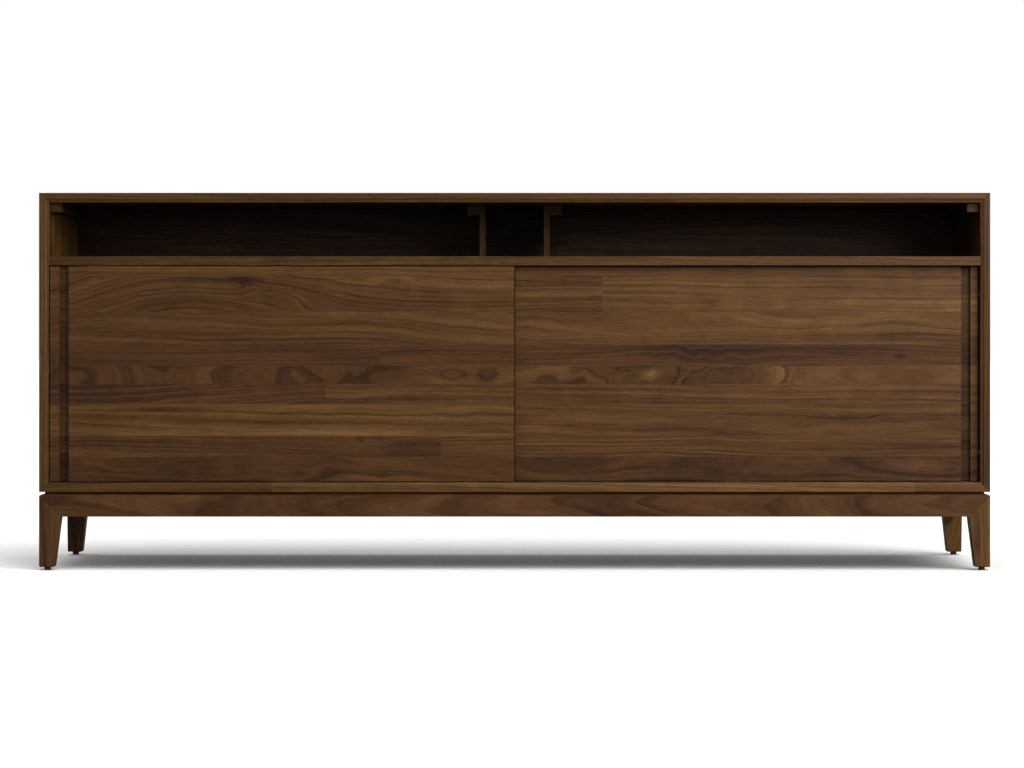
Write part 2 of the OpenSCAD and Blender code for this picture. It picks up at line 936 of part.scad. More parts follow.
top_panel();
left_side_panel();
right_side_panel();
bottom_panel();
fixed_shelf();
left_back_panel();
right_back_panel();
left_bay_divider();
right_bay_divider();
centre_partition();
left_side_cleat();
right_side_cleat();
left_divider_cleat();
right_divider_cleat();
left_adjustable_shelf();
right_adjustable_shelf();
left_shelf_pins();
right_shelf_pins();
front_bottom_track();
rear_bottom_track();
front_top_track();
rear_top_track();
door_bumpers();
front_apron();
back_apron();
left_apron();
right_apron();
front_left_leg();
front_right_leg();
rear_left_leg();
rear_right_leg();
left_cross_rail();
centre_cross_rail();
right_cross_rail();
corner_blocks();
base_screws();
cleat_screws();
back_panel_screws();
leveler_sockets();
front_left_leveler();
front_right_leveler();
rear_left_leveler();
rear_right_leveler();
left_door_panel();
left_door_dust_strip();
left_door_roller_housings();
left_door_axles();
left_door_top_guides();
left_door_outer_wheel();
left_door_inner_wheel();
right_door_panel();
right_door_roller_housings();
right_door_axles();
right_door_top_guides();
right_door_outer_wheel();
right_door_inner_wheel();
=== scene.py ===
import math

import bmesh
import bpy
from mathutils import Matrix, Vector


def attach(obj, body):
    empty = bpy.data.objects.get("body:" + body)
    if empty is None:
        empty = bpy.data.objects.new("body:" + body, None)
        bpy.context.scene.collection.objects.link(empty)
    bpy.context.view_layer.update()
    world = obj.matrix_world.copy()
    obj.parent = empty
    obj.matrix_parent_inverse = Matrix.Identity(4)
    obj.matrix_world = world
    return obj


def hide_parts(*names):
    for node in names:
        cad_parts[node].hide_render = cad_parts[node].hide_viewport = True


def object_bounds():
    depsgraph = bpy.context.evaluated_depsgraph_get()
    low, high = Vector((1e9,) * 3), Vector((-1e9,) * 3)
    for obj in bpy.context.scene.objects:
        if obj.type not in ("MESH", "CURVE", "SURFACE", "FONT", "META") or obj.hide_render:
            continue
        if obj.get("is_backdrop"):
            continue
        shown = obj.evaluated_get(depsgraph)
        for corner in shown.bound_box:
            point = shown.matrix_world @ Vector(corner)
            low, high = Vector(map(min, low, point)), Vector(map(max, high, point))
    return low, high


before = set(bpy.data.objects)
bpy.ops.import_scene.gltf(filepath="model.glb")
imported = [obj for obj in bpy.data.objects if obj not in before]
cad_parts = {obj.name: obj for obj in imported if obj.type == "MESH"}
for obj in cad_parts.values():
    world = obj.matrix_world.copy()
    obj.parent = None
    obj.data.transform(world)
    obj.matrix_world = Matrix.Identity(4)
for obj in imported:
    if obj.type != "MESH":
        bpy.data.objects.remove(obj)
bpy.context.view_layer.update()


# ---- Studio ----
# A white sweep under wide, soft lights from above, the front and the rear, with a broad panel of
# light at the front right. The floor is matt white board, and it is not part of the cabinet.
camera_distance = 6.880
camera_height = 0.538
camera_lens = 111.2
camera_shift_x = -0.00255
camera_shift_y = -0.0678
floor_size = 60.0


def add_node(tree, kind, values=None, **settings):
    """Adds a node. The values are its inputs, each a number, a colour or another node's output."""
    made = tree.nodes.new(kind)
    for name, value in settings.items():
        setattr(made, name, value)
    for name, value in (values or {}).items():
        if isinstance(value, bpy.types.NodeSocket):
            tree.links.new(value, made.inputs[name])
        else:
            made.inputs[name].default_value = value
    return made


def maths(tree, operation, first, second=0.0, third=0.0, clamp=False):
    """One sum, and its result."""
    made = add_node(tree, "ShaderNodeMath", {0: first, 1: second, 2: third}, operation=operation)
    made.use_clamp = clamp
    return made.outputs[0]


def new_finish(name):
    """An empty material, ready for its nodes."""
    made = bpy.data.materials.new(name)
    made.use_nodes = True
    made.node_tree.nodes.clear()
    return made


bpy.ops.object.select_all(action="DESELECT")
bpy.ops.mesh.primitive_plane_add(size=floor_size)
floor = bpy.context.object
floor.name = "studio_floor"
floor_paint = new_finish("Matt white board")
tree = floor_paint.node_tree
rays = add_node(tree, "ShaderNodeLightPath")
seen_board = add_node(tree, "ShaderNodeBsdfDiffuse", {"Color": (0.86, 0.86, 0.855, 1)})
lit_board = add_node(tree, "ShaderNodeEmission", {"Color": (1, 1, 0.985, 1), "Strength": 0.07})
seen_floor = add_node(tree, "ShaderNodeAddShader", {0: seen_board.outputs[0], 1: lit_board.outputs[0]})
dim_board = add_node(tree, "ShaderNodeBsdfDiffuse", {"Color": (0.22, 0.22, 0.215, 1)})
board = add_node(
    tree,
    "ShaderNodeMixShader",
    {0: rays.outputs["Is Camera Ray"], 1: dim_board.outputs[0], 2: seen_floor.outputs[0]},
)
add_node(tree, "ShaderNodeOutputMaterial", {"Surface": board.outputs[0]})
floor.data.materials.append(floor_paint)
floor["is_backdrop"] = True

surround = bpy.data.worlds.new("Studio surround")
surround.use_nodes = True
bpy.context.scene.world = surround
tree = surround.node_tree
tree.nodes.clear()
rays = add_node(tree, "ShaderNodeLightPath")
soft_air = add_node(tree, "ShaderNodeBackground", {"Color": (1, 0.99, 0.97, 1), "Strength": 0.36})
white_wall = add_node(tree, "ShaderNodeBackground", {"Color": (1, 1, 1, 1), "Strength": 1.0})
air = add_node(
    tree,
    "ShaderNodeMixShader",
    {0: rays.outputs["Is Camera Ray"], 1: soft_air.outputs[0], 2: white_wall.outputs[0]},
)
add_node(tree, "ShaderNodeOutputWorld", {"Surface": air.outputs[0]})
bpy.context.scene.view_settings.view_transform = "Standard"


def hang_sun(name, elevation, turn, strength, softness):
    """A far, wide light. The turn is round from the front towards the right, in degrees."""
    tilt = math.radians(90 - elevation)
    bpy.ops.object.light_add(type="SUN", rotation=(tilt, 0, math.radians(turn)))
    sun = bpy.context.object
    sun.name = name
    sun.data.energy = strength
    sun.data.angle = math.radians(softness)
    return sun


# The cabinet's lights leave the floor alone, and the floor's lights leave the cabinet alone
but_the_floor = bpy.data.collections.new("All but the floor")
but_the_floor.objects.link(floor)
but_the_floor.collection_objects[0].light_linking.link_state = "EXCLUDE"
floor_alone = bpy.data.collections.new("The floor alone")
floor_alone.objects.link(floor)
for light, lit in (
    (hang_sun("overhead_light", 72, 10, 0.2, 70), but_the_floor),
    (hang_sun("front_light", 22, 8, 1.6, 110), but_the_floor),
    (hang_sun("rear_fill_light", 42, 168, 1.7, 80), but_the_floor),
    (hang_sun("floor_overhead_light", 84, 20, 1.55, 62), floor_alone),
    (hang_sun("floor_front_light", 50, 38, 2.1, 52), floor_alone),
):
    light.light_linking.receiver_collection = lit

# A broad panel of light at the front right, turned to the middle of the cabinet
key_azimuth = math.radians(42)
key_elevation = math.radians(20)
key_distance = 3.9
key_panel_w = 2.8
key_panel_h = 1.8
key_power = 165
key_spot = (0.0, 0.0, 0.45)
key_place = (
    key_spot[0] + key_distance * math.sin(key_azimuth) * math.cos(key_elevation),
    key_spot[1] - key_distance * math.cos(key_azimuth) * math.cos(key_elevation),
    key_spot[2] + key_distance * math.sin(key_elevation),
)
key_turn = (math.radians(90) - key_elevation, 0, key_azimuth)
bpy.ops.object.light_add(type="AREA", location=key_place, rotation=key_turn)
key_light = bpy.context.object
key_light.name = "key_light"
key_light.data.shape = "RECTANGLE"
key_light.data.size = key_panel_w
key_light.data.size_y = key_panel_h
key_light.data.energy = key_power
key_light.light_linking.receiver_collection = but_the_floor

camera_place = (0, -camera_distance, camera_height)
bpy.ops.object.camera_add(location=camera_place, rotation=(math.radians(90), 0, 0))
camera = bpy.context.object
camera.data.lens = camera_lens
camera.data.shift_x = camera_shift_x
camera.data.shift_y = camera_shift_y
bpy.context.scene.camera = camera


# ---- Case: top, sides, bottom and fixed shelf ----
# The case is solid walnut, boards glued edge to edge into panels and mitred at the four corners.
# The grain runs round the mitres; the shelf is housed in the sides. It has an oiled, satin finish.
case_arris = 0.0006
case_board_w = 0.092
case_board_len = 1.35
pore_depth = 0.00018


def new_group(name, inputs, outputs):
    """A shader group with named sockets. Returns it with its input and output nodes."""
    group = bpy.data.node_groups.new(name, "ShaderNodeTree")
    for label, value in inputs.items():
        kind = "NodeSocketFloat" if isinstance(value, float) else "NodeSocketVector"
        socket = group.interface.new_socket(label, in_out="INPUT", socket_type=kind)
        socket.default_value = value
    for label, kind in outputs.items():
        group.interface.new_socket(label, in_out="OUTPUT", socket_type=kind)
    entry = group.nodes.new("NodeGroupInput")
    return group, entry.outputs, group.nodes.new("NodeGroupOutput")


def stretched(tree, vector, stretch):
    """The vector, multiplied by three numbers."""
    made = add_node(tree, "ShaderNodeVectorMath", {0: vector, 1: stretch}, operation="MULTIPLY")
    return made.outputs[0]


def point(tree, x, y, z=0.0):
    """A vector put together from three values."""
    return add_node(tree, "ShaderNodeCombineXYZ", {0: x, 1: y, 2: z}).outputs[0]


def cloud(tree, vector, detail=2.0, roughness=0.5):
    """A noise with its middle at nought: its value, and its three channels as a vector."""
    made = add_node(
        tree,
        "ShaderNodeTexNoise",
        {"Vector": vector, "Scale": 1.0, "Detail": detail, "Roughness": roughness},
    )
    value = maths(tree, "SUBTRACT", made.outputs["Fac"], 0.5)
    spread = add_node(
        tree,
        "ShaderNodeVectorMath",
        {0: made.outputs["Color"], 1: (0.5, 0.5, 0.5)},
        operation="SUBTRACT",
    )
    return value, spread.outputs[0]


def added(tree, base, *parts):
    """The base with each (value, amount) added to it."""
    total = base
    for value, amount in parts:
        total = maths(tree, "MULTIPLY_ADD", value, amount, total)
    return total


def colour_steps(tree, value, steps, interpolation="LINEAR"):
    """A colour ramp from (place, colour) pairs."""
    made = add_node(tree, "ShaderNodeValToRGB", {0: value})
    ramp = made.color_ramp
    ramp.interpolation = interpolation
    while len(ramp.elements) < len(steps):
        ramp.elements.new(1.0)
    for element, (place, colour) in zip(ramp.elements, steps):
        element.position = place
        element.color = (*colour, 1)
    return made.outputs[0]


# Growth rings seen as grain: Place runs along the grain in X, across it in Y and into it in Z
slow_wander = 0.036
quick_wander = 0.008
grain_group, given, result = new_group(
    "Walnut grain",
    {
        "Place": (0.0, 0.0, 0.0),
        "Board": 1.0,
        "Heart Side": 0.0,
        "Heart Depth": 0.03,
        "Lean": 0.0,
        "Ring": 0.009,
        "Tone": 0.0,
        "Red": 0.0,
        "Bend": 0.0,
        "Swirl": 0.0,
    },
    {"Color": "NodeSocketColor", "Roughness": "NodeSocketFloat", "Height": "NodeSocketFloat"},
)
tree = grain_group
axes = add_node(tree, "ShaderNodeSeparateXYZ", {0: given["Place"]}).outputs
shift = stretched(tree, point(tree, given["Board"], given["Board"], given["Board"]), (41.3, 17.7, 23.9))
seeded = add_node(tree, "ShaderNodeVectorMath", {0: given["Place"], 1: shift}, operation="ADD").outputs[0]
slow_value, slow = cloud(tree, stretched(tree, seeded, (1.0, 5.0, 5.0)))
quick_value, quick = cloud(tree, stretched(tree, seeded, (4.5, 17.0, 17.0)))
ripple, curl = cloud(tree, stretched(tree, seeded, (24.0, 20.0, 20.0)), 1.0)
slow_axes = add_node(tree, "ShaderNodeSeparateXYZ", {0: slow}).outputs
quick_axes = add_node(tree, "ShaderNodeSeparateXYZ", {0: quick}).outputs
curl_axes = add_node(tree, "ShaderNodeSeparateXYZ", {0: curl}).outputs
stir = added(tree, 0.0010, (given["Swirl"], 0.040))
across = added(
    tree,
    maths(tree, "SUBTRACT", axes[1], given["Heart Side"]),
    (slow_axes[1], slow_wander),
    (quick_axes[1], quick_wander),
    (curl_axes[1], stir),
)
depth = added(
    tree,
    maths(tree, "ADD", axes[2], given["Heart Depth"]),
    (axes[0], given["Lean"]),
    (slow_axes[2], slow_wander),
    (quick_axes[2], quick_wander),
    (curl_axes[2], stir),
)
across_squared = maths(tree, "MULTIPLY", across, across)
radius = maths(tree, "SQRT", maths(tree, "MULTIPLY_ADD", depth, depth, across_squared))
rings = maths(tree, "DIVIDE", maths(tree, "ADD", radius, given["Bend"]), given["Ring"])
wide_place = point(
    tree, maths(tree, "MULTIPLY", rings, 0.27), maths(tree, "MULTIPLY", axes[0], 0.7), given["Board"]
)
wide_bands, unused_spread = cloud(tree, wide_place, 2.0)
streak_place = point(
    tree, maths(tree, "MULTIPLY", rings, 1.5), maths(tree, "MULTIPLY", axes[0], 1.8), given["Board"]
)
streaks, unused_spread = cloud(tree, streak_place, 3.0, 0.6)
line_weight, unused_spread = cloud(
    tree,
    point(
        tree,
        maths(tree, "FLOOR", rings),
        maths(tree, "MULTIPLY", axes[0], 1.7),
        given["Board"],
    ),
    0.0,
)
ring_share = maths(tree, "FRACT", rings)
late_wood = add_node(
    tree,
    "ShaderNodeMapRange",
    {"Value": ring_share, "From Min": 0.58, "From Max": 0.96},
    interpolation_type="SMOOTHSTEP",
).outputs[0]
late_wood = maths(tree, "MULTIPLY", late_wood, maths(tree, "LESS_THAN", ring_share, 0.985))
late_lines = maths(
    tree, "MULTIPLY", late_wood, maths(tree, "MULTIPLY_ADD", line_weight, 3.0, 0.50, clamp=True)
)
fibre_place = point(
    tree, maths(tree, "MULTIPLY", axes[0], 7.0), maths(tree, "MULTIPLY", rings, 4.2), given["Board"]
)
fibre, unused_spread = cloud(tree, fibre_place, 2.0, 0.65)
flecks, unused_spread = cloud(tree, stretched(tree, seeded, (34.0, 430.0, 430.0)), 1.0)
pore_cloud, unused_spread = cloud(tree, stretched(tree, seeded, (130.0, 1900.0, 1900.0)), 0.0)
pores = add_node(
    tree, "ShaderNodeMapRange", {"Value": pore_cloud, "From Min": 0.12, "From Max": 0.26}
).outputs[0]
pores = maths(tree, "MULTIPLY", pores, maths(tree, "MULTIPLY_ADD", wide_bands, 1.4, 0.6, clamp=True))
ripple_place = maths(tree, "MULTIPLY_ADD", slow_value, 5.0, 0.35, clamp=True)
shade = added(
    tree,
    maths(tree, "ADD", given["Tone"], 0.55),
    (wide_bands, 0.36),
    (streaks, 0.86),
    (slow_value, 0.16),
    (late_lines, -0.235),
    (fibre, 0.38),
    (flecks, 0.34),
    (pores, -0.10),
    (maths(tree, "MULTIPLY", ripple, ripple_place), 0.30),
)
brown = colour_steps(
    tree,
    shade,
    [
        (0.0, (0.0115, 0.0045, 0.0014)),
        (0.28, (0.0345, 0.0145, 0.0036)),
        (0.52, (0.0620, 0.0280, 0.0068)),
        (0.76, (0.0960, 0.0470, 0.0125)),
        (1.0, (0.1650, 0.0880, 0.0280)),
    ],
)
russet = colour_steps(
    tree,
    shade,
    [
        (0.0, (0.0135, 0.0048, 0.0024)),
        (0.28, (0.0365, 0.0138, 0.0060)),
        (0.52, (0.0625, 0.0250, 0.0095)),
        (0.76, (0.0960, 0.0425, 0.0150)),
        (1.0, (0.1600, 0.0790, 0.0290)),
    ],
)
redness = added(tree, given["Red"], (quick_value, 0.8), (wide_bands, -1.1))
redness = maths(tree, "ADD", redness, 0.30, clamp=True)
tint = add_node(tree, "ShaderNodeMix", {0: redness, 6: brown, 7: russet}, data_type="RGBA")
tree.links.new(tint.outputs[2], result.inputs["Color"])
gloss = added(tree, 0.47, (shade, -0.05), (pores, 0.18), (fibre, 0.12))
tree.links.new(gloss, result.inputs["Roughness"])
surface = added(tree, 0.6, (pores, -0.6), (late_lines, 0.10), (fibre, 0.25))
tree.links.new(surface, result.inputs["Height"])

# Boards glued side by side: gives each board of a panel its own number, heart, lean and tone
panel_offset = 0.37
board_numbers = 60.0
heart_spread = 0.28
lean_spread = 0.07
tone_spread = 0.26
red_spread = 0.9
least_ring = 0.0040
ring_spread = 0.0035
board_group, given, result = new_group(
    "Walnut boards",
    {"Place": (0.0, 0.0, 0.0), "Width": 0.09, "Length": 1.4, "Panel": 1.0},
    {
        "Board": "NodeSocketFloat",
        "Heart Side": "NodeSocketFloat",
        "Lean": "NodeSocketFloat",
        "Tone": "NodeSocketFloat",
        "Red": "NodeSocketFloat",
        "Ring": "NodeSocketFloat",
    },
)
tree = board_group
axes = add_node(tree, "ShaderNodeSeparateXYZ", {0: given["Place"]}).outputs
panel_shift = maths(tree, "MULTIPLY", given["Panel"], panel_offset)
row_share = maths(tree, "ADD", maths(tree, "DIVIDE", axes[1], given["Width"]), panel_shift)
row = maths(tree, "FLOOR", row_share)
row_chance = add_node(
    tree,
    "ShaderNodeTexWhiteNoise",
    {"Vector": point(tree, row, given["Panel"])},
    noise_dimensions="3D",
).outputs["Value"]
place_in_row = maths(
    tree, "ADD", maths(tree, "DIVIDE", axes[0], given["Length"]), maths(tree, "MULTIPLY", row_chance, 7.0)
)
board_chance = add_node(
    tree,
    "ShaderNodeTexWhiteNoise",
    {"Vector": point(tree, row, maths(tree, "FLOOR", place_in_row), given["Panel"])},
    noise_dimensions="3D",
)
chances = add_node(tree, "ShaderNodeSeparateColor", {0: board_chance.outputs["Color"]}).outputs
middle_row = maths(tree, "ADD", maths(tree, "SUBTRACT", row, panel_shift), 0.5)
middle = maths(tree, "MULTIPLY", middle_row, given["Width"])
board = maths(tree, "MULTIPLY", board_chance.outputs["Value"], board_numbers)
tree.links.new(board, result.inputs["Board"])
tree.links.new(
    maths(tree, "MULTIPLY_ADD", maths(tree, "SUBTRACT", chances[0], 0.5), heart_spread, middle),
    result.inputs["Heart Side"],
)
for label, chance, centre, spread in (
    ("Lean", chances[1], 0.5, lean_spread),
    ("Tone", chances[2], 0.5, tone_spread),
    ("Red", chances[0], 0.6, red_spread),
):
    from_centre = maths(tree, "SUBTRACT", chance, centre)
    tree.links.new(maths(tree, "MULTIPLY", from_centre, spread), result.inputs[label])
tree.links.new(maths(tree, "MULTIPLY_ADD", chances[1], ring_spread, least_ring), result.inputs["Ring"])


def along_grain(tree, directions):
    """Object coordinates turned so that X runs along the grain, as in directions, such as "zyx"."""
    place = add_node(tree, "ShaderNodeTexCoord").outputs["Object"]
    axes = add_node(tree, "ShaderNodeSeparateXYZ", {0: place}).outputs
    return point(tree, *[axes["xyz".index(letter)] for letter in directions])


def oil_finish(finish, grain):
    """The satin oil over the grain: the shader, with the grain's colour, gloss and pores."""
    tree = finish.node_tree
    relief = add_node(
        tree,
        "ShaderNodeBump",
        {"Height": grain.outputs["Height"], "Strength": 0.35, "Distance": pore_depth},
    )
    wood = add_node(
        tree,
        "ShaderNodeBsdfPrincipled",
        {
            "Base Color": grain.outputs["Color"],
            "Roughness": grain.outputs["Roughness"],
            "Normal": relief.outputs[0],
            "Specular IOR Level": 0.1,
        },
    )
    add_node(tree, "ShaderNodeOutputMaterial", {"Surface": wood.outputs[0]})


def walnut(name, directions, panel, width, length, tone=0.0):
    """A walnut finish of boards of this width and length, with the grain along the first direction."""
    finish = new_finish(name)
    tree = finish.node_tree
    place = along_grain(tree, directions)
    boards = add_node(tree, "ShaderNodeGroup", node_tree=board_group)
    tree.links.new(place, boards.inputs["Place"])
    boards.inputs["Width"].default_value = width
    boards.inputs["Length"].default_value = length
    boards.inputs["Panel"].default_value = panel
    grain = add_node(tree, "ShaderNodeGroup", node_tree=grain_group)
    tree.links.new(place, grain.inputs["Place"])
    for label in ("Board", "Heart Side", "Lean", "Ring", "Red"):
        tree.links.new(boards.outputs[label], grain.inputs[label])
    tree.links.new(maths(tree, "ADD", boards.outputs["Tone"], tone), grain.inputs["Tone"])
    oil_finish(finish, grain)
    return finish


def dress(names, finish, arris=0.0):
    """Gives the named pieces their finish, and eases their edges by the width of the arris."""
    for name in names:
        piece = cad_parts[name]
        piece.data.materials.clear()
        piece.data.materials.append(finish)
        if not arris:
            continue
        weld = piece.modifiers.new("Joined faces", "WELD")
        weld.merge_threshold = 0.00002
        flat = piece.modifiers.new("Whole faces", "DECIMATE")
        flat.decimate_type = "DISSOLVE"
        flat.angle_limit = math.radians(1)
        ease = piece.modifiers.new("Eased edges", "BEVEL")
        ease.width = arris
        ease.segments = 2
        ease.limit_method = "ANGLE"
        ease.angle_limit = math.radians(30)
        ease.use_clamp_overlap = False
        shading = piece.modifiers.new("Flat faces", "WEIGHTED_NORMAL")
        shading.weight = 80


dress(
    ["top_panel"],
    walnut("Walnut top", "xyz", panel=3.0, width=case_board_w, length=case_board_len, tone=-0.07),
    case_arris,
)
dress(
    ["bottom_panel"],
    walnut("Walnut bottom", "xyz", panel=8.0, width=case_board_w, length=case_board_len),
    case_arris,
)
dress(
    ["left_side_panel"],
    walnut("Walnut left side", "zyx", panel=5.0, width=case_board_w, length=2.0, tone=0.10),
    case_arris,
)
dress(
    ["right_side_panel"],
    walnut("Walnut right side", "zyx", panel=6.0, width=case_board_w, length=2.0, tone=-0.06),
    case_arris,
)
dress(
    ["fixed_shelf"],
    walnut("Walnut shelf", "xyz", panel=11.0, width=case_board_w, length=case_board_len, tone=0.02),
    case_arris,
)


# ---- Back panels ----
# Two solid walnut panels, each with a round cable hole, lie in a rebate round the back of the case.
# They are screwed to the case, the shelf and the partition.
back_board_w = 0.105
dress(
    ["left_back_panel", "right_back_panel"],
    walnut("Walnut back", "xzy", panel=14.0, width=back_board_w, length=0.9, tone=-0.33),
    case_arris,
)


# ---- Bay dividers and cleats ----
# Thin walnut dividers stand between the shelf and the top and make three bays.
# Walnut cleats run front to back in the corners under the top, screwed up and sideways.
divider_arris = 0.0005
dress(
    ["left_bay_divider", "right_bay_divider"],
    walnut("Walnut dividers", "zyx", panel=17.0, width=0.115, length=1.0, tone=-0.14),
    divider_arris,
)
dress(
    ["left_side_cleat", "right_side_cleat", "left_divider_cleat", "right_divider_cleat"],
    walnut("Walnut cleats", "yxz", panel=19.0, width=0.06, length=1.0, tone=-0.20),
    divider_arris,
)


# ---- Centre partition and adjustable shelves ----
# Behind the doors a walnut partition stands on the middle of the bottom, with a cable notch at its back.
# On each side of it a loose walnut shelf rests on four pins in the rows of holes.
dress(
    ["centre_partition"],
    walnut("Walnut partition", "zyx", panel=22.0, width=0.1, length=1.0),
    case_arris,
)
dress(
    ["left_adjustable_shelf", "right_adjustable_shelf"],
    walnut("Walnut loose shelves", "xyz", panel=25.0, width=0.09, length=0.9),
    case_arris,
)


# ---- Sliding doors ----
# Each door is a solid walnut panel, staves of mixed widths glued up with butt joints in some of them.
# The two were cut from one long panel, so the grain runs across both. Each has a finger groove cut
# near its outer end.
door_arris = 0.0005
groove_inner_x = 0.93
# How much painted shade darkens each finger groove, the right one more
left_groove_painted_shade = -0.15
right_groove_painted_shade = -0.25
left_groove_y = -0.2195
right_groove_y = -0.1985
groove_half_depth = 0.0051
door_low = 0.187
door_high = 0.6395
# Each stave from the bottom: its lower edge, the place of its butt joint, and for the board on the
# left and then on the right of it: number, heart above the panel's foot, lean, ring, tone and redness
door_staves = [
    (0.1870, 2.0, (0.11, 0.10, 0.51, 0.40, -0.13, 0.10), (0.11, 0.10, 0.51, 0.40, -0.13, 0.10)),
    (0.2380, -0.154, (0.23, -0.20, 0.51, 0.50, -0.11, 0.40), (0.37, -0.12, 0.49, 0.42, 0.02, 0.0)),
    (0.2810, 2.0, (0.31, 0.10, 0.48, 0.62, 0.03, -0.10), (0.31, 0.10, 0.48, 0.62, 0.03, -0.10)),
    (0.3480, -0.397, (0.43, 0.20, 0.53, 0.55, -0.08, 0.35), (0.57, 0.15, 0.48, 0.60, 0.0, 0.05)),
    (0.3905, 2.0, (0.61, 0.47, 0.50, 0.70, 0.0, 0.10), (0.61, 0.47, 0.50, 0.70, 0.0, 0.10)),
    (0.4295, -0.283, (0.73, 0.95, 0.50, 0.42, -0.09, 0.40), (0.79, 0.30, 0.48, 0.45, -0.12, 0.30)),
    (0.4747, 2.0, (0.83, 0.85, 0.52, 0.50, 0.0, -0.05), (0.83, 0.85, 0.52, 0.50, 0.0, -0.05)),
    (0.5430, 0.185, (0.91, 1.35, 0.52, 0.62, 0.0, -0.05), (0.97, 0.55, 0.49, 0.50, 0.05, 0.0)),
    (0.6190, 2.0, (0.05, 0.60, 0.50, 0.35, 0.05, 0.0), (0.05, 0.60, 0.50, 0.35, 0.05, 0.0)),
]
ring_range = 0.0112
lean_range = 0.4

# A local change in the grain, such as a knot: strongest in its middle, and only within its stave
mark_group, given, result = new_group(
    "Walnut mark",
    {
        "Place": (0.0, 0.0, 0.0),
        "Along": 0.0,
        "Across": 0.0,
        "Length": 0.1,
        "Width": 0.02,
        "Low": 0.0,
        "High": 1.0,
    },
    {"Mark": "NodeSocketFloat"},
)
tree = mark_group
axes = add_node(tree, "ShaderNodeSeparateXYZ", {0: given["Place"]}).outputs
along = maths(tree, "DIVIDE", maths(tree, "SUBTRACT", axes[0], given["Along"]), given["Length"])
across = maths(tree, "DIVIDE", maths(tree, "SUBTRACT", axes[1], given["Across"]), given["Width"])
away = maths(tree, "MULTIPLY_ADD", along, along, maths(tree, "MULTIPLY", across, across))
fade = maths(tree, "POWER", 2.718, maths(tree, "MULTIPLY", away, -1.0))
above = maths(tree, "GREATER_THAN", axes[1], given["Low"])
below = maths(tree, "LESS_THAN", axes[1], given["High"])
inside = maths(tree, "MULTIPLY", above, below)
tree.links.new(maths(tree, "MULTIPLY", fade, inside), result.inputs["Mark"])

# Each mark: place along and across, length, width, its stave's edges, and how much it bends the rings
# outwards, slants them, swirls them and lightens them
door_marks = [
    (-0.565, 0.608, 0.024, 0.009, 0.543, 0.619, 0.016, 0.0, 0.3, -0.40),
    (-0.520, 0.590, 0.050, 0.016, 0.543, 0.619, 0.012, 0.0, 0.3, -0.12),
    (-0.460, 0.575, 0.075, 0.020, 0.543, 0.619, 0.009, 0.0, 0.0, 0.04),
    (-0.409, 0.610, 0.024, 0.007, 0.543, 0.619, 0.007, 0.0, 0.2, -0.12),
    (-0.247, 0.612, 0.050, 0.011, 0.543, 0.619, 0.012, 0.0, 0.2, 0.12),
    (-0.900, 0.600, 0.300, 0.100, 0.543, 0.619, 0.0, 0.24, 0.0, -0.04),
    (-0.620, 0.612, 0.100, 0.009, 0.543, 0.619, 0.0, 0.0, 0.0, -0.16),
    (-0.830, 0.410, 0.140, 0.080, 0.3905, 0.4295, 0.0, 0.20, 0.1, -0.06),
    (-0.400, 0.410, 0.110, 0.060, 0.3905, 0.4295, 0.0, 0.05, 0.24, 0.0),
    (-0.130, 0.412, 0.030, 0.010, 0.3905, 0.4295, 0.009, 0.0, 0.3, -0.08),
    (-0.060, 0.408, 0.022, 0.013, 0.3905, 0.4295, 0.009, 0.0, 0.5, -0.26),
    (0.180, 0.410, 0.110, 0.080, 0.3905, 0.4295, 0.0, 0.10, 0.55, -0.12),
    (0.330, 0.405, 0.120, 0.080, 0.3905, 0.4295, 0.0, -0.14, 0.36, -0.24),
    (0.288, 0.413, 0.020, 0.012, 0.3905, 0.4295, 0.0, 0.0, 0.2, 0.38),
    (0.560, 0.410, 0.100, 0.080, 0.3905, 0.4295, 0.0, 0.16, 0.1, 0.05),
    (0.370, 0.455, 0.140, 0.060, 0.4295, 0.4747, 0.0, 0.07, 0.4, -0.12),
    (0.600, 0.460, 0.300, 0.020, 0.4295, 0.4747, 0.0, 0.0, 0.0, -0.10),
    (0.814, 0.450, 0.011, 0.007, 0.4295, 0.4747, 0.007, 0.0, 0.2, -0.34),
    (0.700, 0.322, 0.060, 0.006, 0.281, 0.348, 0.004, 0.0, 0.1, -0.28),
    (0.880, 0.262, 0.150, 0.012, 0.238, 0.281, 0.0, 0.0, 0.0, -0.20),
    (0.120, 0.560, 0.420, 0.050, 0.543, 0.619, 0.0, 0.03, 0.0, 0.0),
    (0.200, 0.505, 0.320, 0.030, 0.4747, 0.543, -0.010, 0.0, 0.0, 0.06),
    (-0.315, 0.262, 0.045, 0.022, 0.238, 0.281, 0.009, 0.0, 0.4, 0.03),
    (-0.220, 0.258, 0.070, 0.040, 0.238, 0.281, 0.0, 0.0, 0.2, -0.12),
    (-0.730, 0.338, 0.090, 0.006, 0.281, 0.348, 0.0, 0.0, 0.0, -0.35),
    (-0.400, 0.288, 0.260, 0.007, 0.281, 0.348, 0.0, 0.0, 0.0, 0.30),
    # The last mark lightens the right door's end strip over its whole height: painted light that makes up
    # for the shade the recess and the right side panel cast there
    (0.973, 0.413, 0.011, 0.600, 0.187, 0.6395, 0.0, 0.0, 0.0, 0.16),
]

door_finish = new_finish("Walnut door staves")
tree = door_finish.node_tree
place = along_grain(tree, "xzy")
axes = add_node(tree, "ShaderNodeSeparateXYZ", {0: place}).outputs
height_share = add_node(
    tree, "ShaderNodeMapRange", {"Value": axes[1], "From Min": door_low, "From Max": door_high}
).outputs[0]


def stave_values(side, columns):
    """Three of a board's numbers, looked up by the height of its stave."""
    steps = []
    for low, joint, left, right in door_staves:
        chosen = (left, right)[side]
        share = (low - door_low) / (door_high - door_low)
        steps.append((share, tuple(chosen[column] + 0.5 for column in columns)))
    looked_up = colour_steps(tree, height_share, steps, "CONSTANT")
    return add_node(tree, "ShaderNodeSeparateXYZ", {0: looked_up}).outputs


